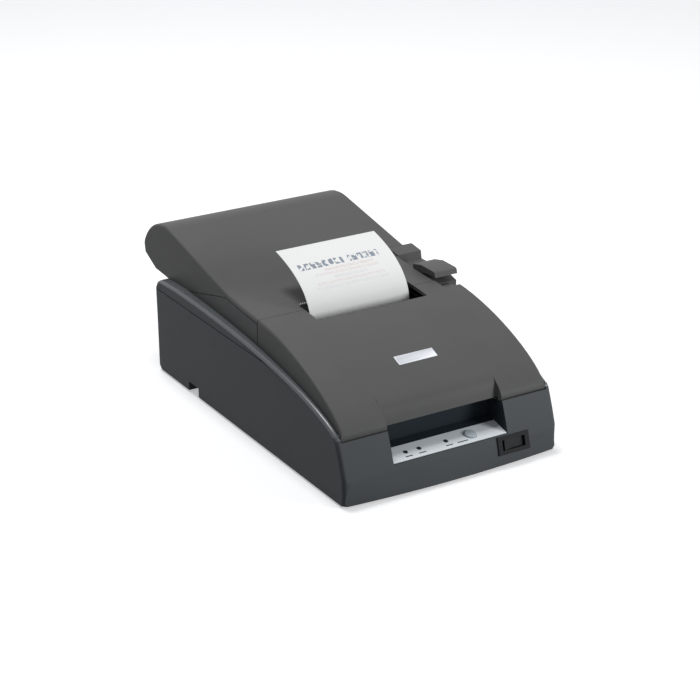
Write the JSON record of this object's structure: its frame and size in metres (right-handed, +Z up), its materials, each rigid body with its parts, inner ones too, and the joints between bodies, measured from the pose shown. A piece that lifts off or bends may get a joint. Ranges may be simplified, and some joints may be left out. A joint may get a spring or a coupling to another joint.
{
  "type": "receipt printer",
  "caption": "Point-of-sale impact receipt printer with a low case, a front cover that tips forward, a rear paper cover that tips back and a paper strip at the slot",
  "frame": {"origin": "centre of the bounding box in plan, on the table under the rubber feet", "axes": "+X to the right seen from the front, +Y to the back, +Z up"},
  "size_m": [0.16, 0.29, 0.1106],
  "materials": {
    "case_plastic": "fine moulded texture",
    "black_plastic": "moulded, satin",
    "rubber": "moulded rubber",
    "steel": "plated",
    "sheet_steel": "zinc plated sheet",
    "label_film": "printed film",
    "lens_plastic": "clear moulded",
    "key_plastic": "moulded",
    "light_plastic": "moulded, natural",
    "badge_metal": "satin",
    "paper": "uncoated paper",
    "circuit_board": "solder mask",
    "ribbon_cloth": "inked nylon",
    "knob_plastic": "moulded",
    "connector_metal": "tin plated",
    "gear_brass": "machined"
  },
  "bodies": {
    "case": {"lower_case": "case_plastic", "rubber_feet": "rubber", "switch_door": "case_plastic", "bottom_screws": "steel", "panel_label": "label_film", "status_lenses": "lens_plastic", "switch_frame": "black_plastic", "panel_board": "circuit_board", "roll_bay": "case_plastic", "hinge_pins": "steel", "paper_web": "paper", "chassis_plate": "sheet_steel", "left_side_plate": "sheet_steel", "right_side_plate": "sheet_steel", "head_shaft": "steel", "guide_rail": "sheet_steel", "platen": "rubber", "feed_motor": "sheet_steel", "carriage_motor": "sheet_steel", "carriage_belt": "rubber", "ribbon_cassette": "black_plastic", "ink_ribbon": "ribbon_cloth", "main_board": "circuit_board", "interface_board": "circuit_board", "interface_plate": "sheet_steel", "data_connector": "connector_metal", "drawer_jack": "black_plastic", "power_inlet": "black_plastic", "plate_screws": "steel"},
    "front_cover": {"printer_cover": "case_plastic", "badge_plate": "badge_metal"},
    "rear_cover": {"roll_cover": "case_plastic", "tear_bar": "steel", "receipt_tail": "paper"},
    "lever": {"cover_lever": "case_plastic"},
    "button": {"feed_button": "key_plastic"},
    "rocker": {"power_rocker": "black_plastic"},
    "sensor": {"roll_sensor_lever": "light_plastic"},
    "head": {"carriage": "black_plastic", "print_head": "sheet_steel"},
    "drive": {"drive_pulley": "light_plastic"},
    "idler": {"idler_pulley": "light_plastic", "ribbon_spindle": "light_plastic", "ribbon_knob": "knob_plastic"},
    "feed": {"feed_roller": "rubber"},
    "pinion": {"motor_pinion": "gear_brass"},
    "pinch": {"pinch_roller": "steel"},
    "roll": {"paper_roll": "paper"}
  },
  "joints": [
    {"name": "front_cover_hinge", "type": "hinge", "parent": "case", "child": "front_cover", "pos_m": [0, -0.1299, 0.0425], "axis": [1, 0, 0], "range_deg": [0, 58]},
    {"name": "rear_cover_hinge", "type": "hinge", "parent": "case", "child": "rear_cover", "pos_m": [0, 0.117, 0.076], "axis": [-1, 0, 0], "range_deg": [0, 80]},
    {"name": "cover_lever_hinge", "type": "hinge", "parent": "case", "child": "lever", "pos_m": [0.0698, -0.001, 0.0791], "axis": [-1, 0, 0], "range_deg": [0, 25], "stiffness_Nm_per_rad": 0.02, "springref_deg": -17.19},
    {"name": "feed_button_slide", "type": "slide", "parent": "case", "child": "button", "axis": [0, 0.2086, -0.978], "range_m": [0, 0.0008], "stiffness_N_per_m": 300, "springref_m": -0.001},
    {"name": "power_rocker_hinge", "type": "hinge", "parent": "case", "child": "rocker", "pos_m": [0.0452, -0.13887, 0.01357], "axis": [0, 0.2588, 0.9659], "range_deg": [-14, 0]},
    {"name": "roll_sensor_hinge", "type": "hinge", "parent": "case", "child": "sensor", "pos_m": [-0.0445, 0.068, 0.0255], "axis": [0, 0, -1], "range_deg": [0, 10], "stiffness_Nm_per_rad": 0.004, "springref_deg": -17.19},
    {"name": "head_slide", "type": "slide", "parent": "case", "child": "head", "axis": [1, 0, 0], "range_m": [0, 0.062]},
    {"name": "drive_pulley_spin", "type": "hinge", "parent": "case", "child": "drive", "pos_m": [-0.045, -0.096, 0.0305], "axis": [0, 0, -1], "range_deg": [0, 550]},
    {"name": "idler_pulley_spin", "type": "hinge", "parent": "case", "child": "idler", "pos_m": [0.045, -0.096, 0.0305], "axis": [0, 0, -1], "range_deg": [0, 550]},
    {"name": "feed_roller_spin", "type": "hinge", "parent": "case", "child": "feed", "pos_m": [0, -0.02455, 0.034], "axis": [-1, 0, 0], "continuous": true},
    {"name": "motor_pinion_spin", "type": "hinge", "parent": "case", "child": "pinion", "pos_m": [0.0666, -0.007, 0.03], "axis": [-1, 0, 0], "continuous": true},
    {"name": "pinch_roller_spin", "type": "hinge", "parent": "case", "child": "pinch", "pos_m": [0, -0.03545, 0.034], "axis": [-1, 0, 0], "continuous": true},
    {"name": "paper_roll_spin", "type": "hinge", "parent": "case", "child": "roll", "pos_m": [0, 0.048, 0.0443], "axis": [-1, 0, 0], "continuous": true}
  ],
  "couplings": [
    {"joint": "drive_pulley_spin", "follows": "head_slide", "rad_per_m": 153.85},
    {"joint": "idler_pulley_spin", "follows": "head_slide", "rad_per_m": 153.85},
    {"joint": "motor_pinion_spin", "follows": "feed_roller_spin", "ratio": -2.75},
    {"joint": "pinch_roller_spin", "follows": "feed_roller_spin", "ratio": -1.5},
    {"joint": "paper_roll_spin", "follows": "feed_roller_spin", "ratio": 0.1579}
  ]
}
